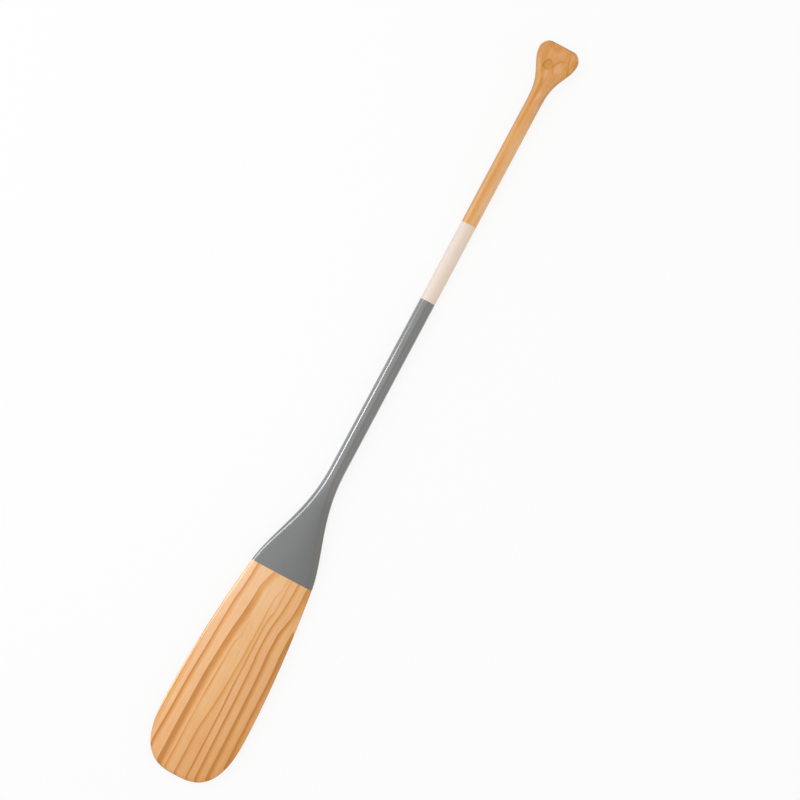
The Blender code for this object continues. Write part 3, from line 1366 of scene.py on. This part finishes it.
@dataclass(frozen=True)
class EnamelFinish:
    """Brushed enamel paint over wood, thin at its ends and scuffed.

    The colour lies at the left of the span, in millimetres, and the darker one at its right, as
    painted shade. The painted light and shade by side follow the turn of the surface, from -1 where
    it faces left to 1 where it faces right.
    """

    colour: Colour
    # The darker colour at the right of the span is painted shade.
    right_shade_colour: Colour
    worn: Colour
    roughness: float
    gloss: float
    gloss_roughness: float
    gloss_ior: float
    ends: Range
    seed: float
    relief: float = 0.000012
    span: float = 60.0
    clouding: float = 0.5
    thin: float = 1.2
    thinness: float = 0.22
    wood: Colour = (0.52, 0.33, 0.19)
    scuffing: float = 0.35
    scuff_roughness: float = 0.22
    cloud_roughness: float = 0.10
    dulled: float = 0.0
    dull_zone: Range = (890.0, 970.0)
    under_shine: float = 0.25
    # Painted light and shade by the way the surface faces, with a painted warm cast on the faces
    # turned right.
    side_light_tones: Points = ()
    painted_warm_light: Colour = (1.0, 0.965, 0.89)
    warm_light_zone: Range = (0.05, 0.45)

    def paint(self, w: Wiring, x: Value, place: Value, film: bpy.types.NodeOutputs) -> Socket:
        """The paint's colour.

        Args:
            w: The material's wiring.
            x: The way across the paddle.
            place: The place along it.
            film: The film group's outputs.

        Returns:
            The colour.
        """
        # Painted shade across the paint: it darkens from its left to its right, broken up by a
        # random cloud.
        cloud = w.times_add(film["Cloud"], self.clouding, 0.5)
        lit_leftness = w.math("MULTIPLY_ADD", x, -0.5 / self.span, cloud, clamp=True)
        colour = w.mix(lit_leftness, self.right_shade_colour, self.colour)
        first, last = (end * PER_METRE for end in self.ends)
        inside = w.math("MINIMUM", w.less(place, first), w.less(last, place))
        bare = w.times(w.band(inside, self.thin, 0.0), self.thinness)
        colour = w.mix(bare, colour, self.wood)
        colour = w.mix(w.times(film["Scuff"], self.scuffing), colour, self.worn)
        # Painted light and shade: paler where the surface turns left towards the light, darker
        # where it turns right, with a warm cast on the faces turned right.
        if self.side_light_tones:
            rightwards, _, _ = w.normal()
            tone = w.curve(w.times_add(rightwards, 0.5, 0.5), self.side_light_tones, -1.0, 1.0)
            colour = w.shade(colour, tone)
            colour = w.tint(w.band(rightwards, *self.warm_light_zone), colour, self.painted_warm_light)
        return colour

    def material(self, name: str, finishes: Finishes) -> bpy.types.Material:
        """Makes the coat's material.

        Args:
            name: The material's name.
            finishes: The shared node groups.

        Returns:
            The material.
        """
        dressing = Dressing(name)
        w = dressing.w
        film = dressing.group(finishes.film, Seed=self.seed)
        x, place, _ = w.millimetres(dressing.at, finishes.shape)
        rough = w.times_add(film["Scuff"], self.scuff_roughness, self.roughness)
        gloss: Value = self.gloss
        if self.dulled:
            dull = w.band(place, *self.dull_zone)
            gloss = w.times_add(dull, -self.gloss * self.dulled, self.gloss)
        dressing.set(
            Base_Color=self.paint(w, x, place, film),
            Roughness=w.times_add(film["Cloud"], self.cloud_roughness, rough),
            Coat_Weight=gloss,
            Coat_Roughness=self.gloss_roughness,
            Coat_IOR=self.gloss_ior,
            Specular_IOR_Level=self.under_shine,
        )
        dressing.bump(film["Height"], self.relief)
        return dressing.material


@dataclass
class WoodBlank:
    """The glued-up paddle in one body, before it is parted into its boards."""

    shape: PaddleShape
    grip_end_rows: int = 18
    grip_rows: int = 90
    bare_rows: int = 20
    painted_rows: int = 24
    flare_rows: int = 90
    side_rows: int = 72
    tip_rows: int = 56
    under_paint: float = -0.00025
    step: float = 0.00015
    skin: bmesh.types.BMesh | None = None

    def rows(self) -> list[tuple[float, float]]:
        """The rows of the wood's surface, which steps down under the paint.

        Returns:
            Each row's place and offset.
        """
        s = self.shape
        top = np.concatenate([
            s.grip_edge * (1.0 - np.cos(quarter_turn(self.grip_end_rows))),
            onward(s.grip_edge, s.grip_length, self.grip_rows),
            onward(s.grip_length, s.bare_length, self.bare_rows),
        ])
        painted = np.concatenate([
            np.linspace(s.bare_length + self.step, s.flare, self.painted_rows + 1),
            onward(s.flare, s.shoulder - self.step, self.flare_rows),
        ])
        side = np.linspace(s.shoulder, s.widest, self.side_rows + 1)[:-1]
        blade = np.concatenate([side, s.tip_places(self.tip_rows)])
        stretches = ((top, 0.0), (painted, self.under_paint), (blade, 0.0))
        return [(float(place), offset) for places, offset in stretches for place in places]

    def body(self) -> bmesh.types.BMesh:
        """Gives the whole blank, which is worked out only once.

        Returns:
            A copy of it, as one closed body.
        """
        if self.skin is None:
            self.skin = self.shape.skin(self.rows())
        return self.skin.copy()


@dataclass
class ShaftStave:
    """The centre board, one piece from the end of the grip to the tip of the blade."""

    blank: WoodBlank
    seam: float = 0.000003
    finish: PineFinish = PineFinish(slope=1.0, seed=0.0)

    def build(self) -> bpy.types.Object:
        """Parts the centre board from the blank.

        Returns:
            The board.
        """
        bm = self.blank.body()
        face = self.blank.shape.stave_half_width - self.seam
        for side in Side:
            cut(bm, Vector((side.value * face, 0.0, 0.0)), Vector((side.value, 0.0, 0.0)))
        return make_piece("stave_board", bm, "shaft_stave")

    def dress(self, piece: bpy.types.Object, finishes: Finishes) -> None:
        """Gives the centre board its grain."""
        piece.data.materials.append(self.finish.material("pine_stave", finishes))


@dataclass
class SideBoards:
    """The boards glued to both sides of the stave at one end of the paddle."""

    blank: WoodBlank
    end: End
    name: str
    node: str
    finish_by_side: dict[Side, PineFinish]
    seam: float = 0.000003

    def build(self, side: Side) -> bpy.types.Object:
        """Parts one board from the blank.

        Args:
            side: The side that it is glued to.

        Returns:
            The board.
        """
        shape = self.blank.shape
        bm = self.blank.body()
        middle = Vector((0.0, shape.length / 2 - shape.middle, 0.0))
        cut(bm, middle, Vector((0.0, -self.end.value, 0.0)))
        face = side.value * (shape.stave_half_width + self.seam)
        cut(bm, Vector((face, 0.0, 0.0)), Vector((-side.value, 0.0, 0.0)))
        which = side.name.lower()
        return make_piece(f"{self.name}_{which}", bm, f"{self.node}_{which}")

    def dress(self, piece: bpy.types.Object, side: Side, finishes: Finishes) -> None:
        """Gives one board its grain."""
        finish = self.finish_by_side[side]
        piece.data.materials.append(finish.material(f"pine_{piece.name}", finishes))


@dataclass
class PaintCoat:
    """One coat of paint: a thin shell round the wood, with a rounded lip at each end."""

    shape: PaddleShape
    name: str
    node: str
    slot: str
    start: float
    end: float
    finish: EnamelFinish
    film: float = 0.00035
    proud: float = 0.00015
    sunk: float = -0.00001
    lip: float = 0.0003
    lip_rows: int = 5
    ridge: float = 0.00004
    ridge_width: float = 0.0014
    ridge_rows: int = 4
    ridge_clearance: float = 1.5
    straight_rows: int = 24
    flare_rows: int = 90

    def offset(self, inside: np.ndarray) -> np.ndarray:
        """How far the coat stands out from bare wood, by the way in from its nearer end.

        Args:
            inside: Distances from the nearer end.

        Returns:
            The offset: a rounded lip with the ridge that masking tape leaves, then plain film.
        """
        rise = self.sunk + (self.proud - self.sunk) * arc(inside / self.lip, ELLIPSE)
        ridge = self.ridge * np.sin(math.pi * share(inside, 0.0, self.ridge_width)) ** 2
        return rise + ridge

    def rows(self) -> list[tuple[float, float]]:
        """The rows of the coat's surface.

        Returns:
            Each row's place and offset.
        """
        s = self.shape
        lip = self.lip * (1.0 - np.cos(quarter_turn(self.lip_rows)))
        near = np.concatenate([lip, onward(self.lip, self.ridge_width, self.ridge_rows)])
        straight = np.linspace(self.start, min(self.end, s.flare), self.straight_rows + 1)
        flare = np.linspace(s.flare, s.shoulder, self.flare_rows + 1)
        middle = np.unique(np.concatenate([straight, flare]))
        clearance = self.ridge_width * self.ridge_clearance
        middle = middle[(middle > self.start + clearance) & (middle < self.end - clearance)]
        places = np.concatenate([self.start + near, middle, self.end - near[::-1]])
        inside = np.minimum(places - self.start, self.end - places)
        return [(float(place), float(out)) for place, out in zip(places, self.offset(inside))]

    def build(self) -> bpy.types.Object:
        """Makes the coat: the paddle's surface over its stretch, thickened inwards.

        Returns:
            The coat.
        """
        bm = self.shape.skin(self.rows())
        bmesh.ops.solidify(bm, geom=bm.faces[:], thickness=self.film)
        return make_piece(self.name, bm, self.node)

    def dress(self, piece: bpy.types.Object, finishes: Finishes) -> None:
        """Gives the coat its paint."""
        piece.data.materials.append(self.finish.material(self.slot, finishes))


@dataclass(frozen=True)
class Lamp:
    """A rectangular lamp that isn't seen itself, the first of its sizes level with the floor."""

    name: str
    place: tuple[float, float, float]
    aim: tuple[float, float, float]
    size: tuple[float, float]
    radiance: float
    colour: Colour = WHITE
    shine_only: bool = False

    def light(self) -> bpy.types.Object:
        """Makes the lamp.

        Returns:
            The lamp.
        """
        data = bpy.data.lights.new(self.name, "AREA")
        data.shape = "RECTANGLE"
        data.size, data.size_y = self.size
        data.energy = self.radiance * math.pi * self.size[0] * self.size[1]
        data.color = self.colour
        lamp = add_object(self.name, data)
        lamp.location = self.place
        way = Vector(self.aim) - Vector(self.place)
        lamp.rotation_euler = way.to_track_quat("-Z", "Y").to_euler()
        lamp.visible_camera = False
        lamp.visible_diffuse = not self.shine_only
        return lamp


@dataclass
class Studio:
    """The floor, the lamps, the white surroundings and the camera above the paddle."""

    turn: float = math.radians(28.08)
    centre: tuple[float, float] = (0.0405, 0.0449)
    frame_width: float = 1.478
    lens: float = 85.0
    sensor: float = 36.0
    floor_size: float = 12.0
    floor_drop: float = 0.0004
    floor_colour: Colour = (0.9, 0.9, 0.9)
    floor_roughness: float = 0.9
    floor_glow: float = 0.86
    surroundings: float = 0.66
    canopy_height: float = 1.9
    canopy_gap: float = 0.001
    canopy_left: float = -1.7
    canopy_length: float = 2.6
    canopy_edges: tuple[float, ...] = (0.14, 0.05, -0.05, -0.14)
    canopy_radiance: float = 0.24
    canopy_colour: Colour = (0.98, 0.99, 1.0)
    lamps: tuple[Lamp, ...] = (
        Lamp("side", (-2.8, 0.0, 1.15), (0.0, 0.0, 0.0), (2.4, 1.8), 1.38, (0.97, 0.99, 1.0)),
        Lamp("fill", (2.6, 0.2, 1.6), (0.0, 0.1, 0.0), (3.2, 2.6), 0.42, (1.0, 0.96, 0.88)),
        Lamp("strip", (-1.82, -0.58, 0.84), (0.0, -0.58, 0.015), (1.5, 0.5), 12.0, shine_only=True),
    )

    def canopy(self) -> list[Lamp]:
        """Panels above the paddle's left side, in steps that grade the shine across its faces.

        Returns:
            The panels as lamps.
        """
        panels = []
        for number, edge in enumerate(self.canopy_edges):
            middle, width = (edge + self.canopy_left) / 2, edge - self.canopy_left
            place = (middle, 0.0, self.canopy_height + number * self.canopy_gap)
            panel = Lamp(
                f"canopy_{number}", place, (middle, 0.0, 0.0), (width, self.canopy_length),
                self.canopy_radiance, self.canopy_colour,
            )
            panels.append(panel)
        return panels

    def camera(self, height: float) -> bpy.types.Object:
        """Makes the camera, which looks straight down from the photograph's angle.

        Args:
            height: The height of the paddle's middle plane, where the frame's width is measured.

        Returns:
            The camera.
        """
        data = bpy.data.cameras.new("camera")
        data.lens = self.lens
        data.sensor_width = self.sensor
        camera = add_object("camera", data)
        camera.location = (*self.centre, height + self.frame_width * self.lens / self.sensor)
        camera.rotation_euler = (0.0, 0.0, self.turn)
        bpy.context.scene.camera = camera
        return camera

    def floor(self) -> bpy.types.Object:
        """Makes the pale floor, which glows white for the camera but keeps the shadow.

        Returns:
            The floor.
        """
        bm = bmesh.new()
        bmesh.ops.create_grid(bm, x_segments=1, y_segments=1, size=self.floor_size / 2)
        bmesh.ops.translate(bm, verts=bm.verts[:], vec=(0.0, 0.0, -self.floor_drop))
        floor = add_object("floor", finish_mesh("floor", bm))
        dressing = Dressing("floor")
        dressing.set(Base_Color=self.floor_colour, Roughness=self.floor_roughness)
        dressing.set(Specular_IOR_Level=0.0)
        w = dressing.w
        plain, glow = dressing.shader.outputs[0], w.node("Emission").outputs[0]
        mixed = w.node("MixShader")
        amount = w.times(w.seen(), self.floor_glow)
        for socket, value in zip(mixed.inputs, (amount, plain, glow)):
            w.feed(socket, value)
        w.feed(w.tree.nodes["Material Output"].inputs["Surface"], mixed.outputs[0])
        floor.data.materials.append(dressing.material)
        return floor

    def world(self) -> bpy.types.World:
        """Makes the soft surroundings, white where the camera or a reflection sees them.

        Returns:
            The world.
        """
        world = bpy.data.worlds.new("surroundings")
        world.use_nodes = True
        w = Wiring(world.node_tree)
        background = world.node_tree.nodes["Background"]
        strength = w.times_add(w.seen(), 1.0 - self.surroundings, self.surroundings)
        w.feed(background.inputs["Strength"], strength)
        w.feed(background.inputs["Color"], WHITE)
        bpy.context.scene.world = world
        return world

    def build(self, height: float) -> None:
        """Sets up the whole studio.

        Args:
            height: The height of the paddle's middle plane.
        """
        self.camera(height)
        self.floor()
        self.world()
        for lamp in (*self.canopy(), *self.lamps):
            lamp.light()
        bpy.context.scene.view_settings.view_transform = "Standard"


def main() -> None:
    """Builds and dresses every piece, and sets up the studio."""
    logging.basicConfig(level=logging.INFO, format="%(name)s: %(message)s")
    shape = PaddleShape()
    finishes = Finishes(shape)
    blank = WoodBlank(shape)

    stave = ShaftStave(blank)
    board = stave.build()
    stave.dress(board, finishes)
    pieces = [board]

    cheek_finishes = {
        Side.LEFT: PineFinish(slope=0.5, seed=1.7),
        Side.RIGHT: PineFinish(slope=1.7, seed=2.9),
    }
    wing_finishes = {
        Side.LEFT: PineFinish(slope=0.7, seed=4.1),
        Side.RIGHT: PineFinish(slope=1.35, seed=5.3),
    }
    for boards in (
        SideBoards(blank, End.GRIP, "grip_cheek_board", "grip_cheek", cheek_finishes),
        SideBoards(blank, End.BLADE, "blade_wing_board", "blade_wing", wing_finishes),
    ):
        for side in Side:
            board = boards.build(side)
            boards.dress(board, side, finishes)
            pieces.append(board)

    cream = EnamelFinish(
        colour=(0.80, 0.682, 0.61),
        right_shade_colour=(0.797, 0.63, 0.495),
        worn=(0.70, 0.565, 0.46),
        roughness=0.42,
        gloss=0.5,
        gloss_roughness=0.22,
        gloss_ior=1.5,
        ends=(shape.bare_length, shape.band_end),
        seed=6.0,
        span=12.0,
        clouding=0.7,
    )
    grey = EnamelFinish(
        colour=(0.160, 0.162, 0.165),
        right_shade_colour=(0.130, 0.131, 0.130),
        worn=(0.19, 0.193, 0.194),
        roughness=0.34,
        gloss=1.0,
        gloss_roughness=0.12,
        gloss_ior=1.57,
        ends=(shape.band_end, shape.shoulder),
        seed=8.0,
        relief=0.000006,
        dulled=0.5,
        under_shine=0.36,
        # Painted light on the left rim and painted shade on the right rim.
        side_light_tones=(
            (-1.0, 1.5), (-0.9, 1.42), (-0.7, 1.13), (-0.5, 0.96), (-0.3, 0.94), (-0.12, 0.96),
            (0.0, 1.0), (0.12, 0.98), (0.5, 0.95), (0.8, 0.95), (0.9, 0.8), (1.0, 0.62),
        ),
    )
    for coat in (
        PaintCoat(shape, "cream_coat", "cream_band", "cream_paint", *cream.ends, cream),
        PaintCoat(shape, "grey_coat_film", "grey_coat", "grey_paint", *grey.ends, grey),
    ):
        painted = coat.build()
        coat.dress(painted, finishes)
        pieces.append(painted)

    Studio().build(height=shape.half_thickness)
    for piece in pieces:
        LOG.info("%s: %d faces", piece.name, len(piece.data.polygons))


if __name__ == "__main__":
    main()
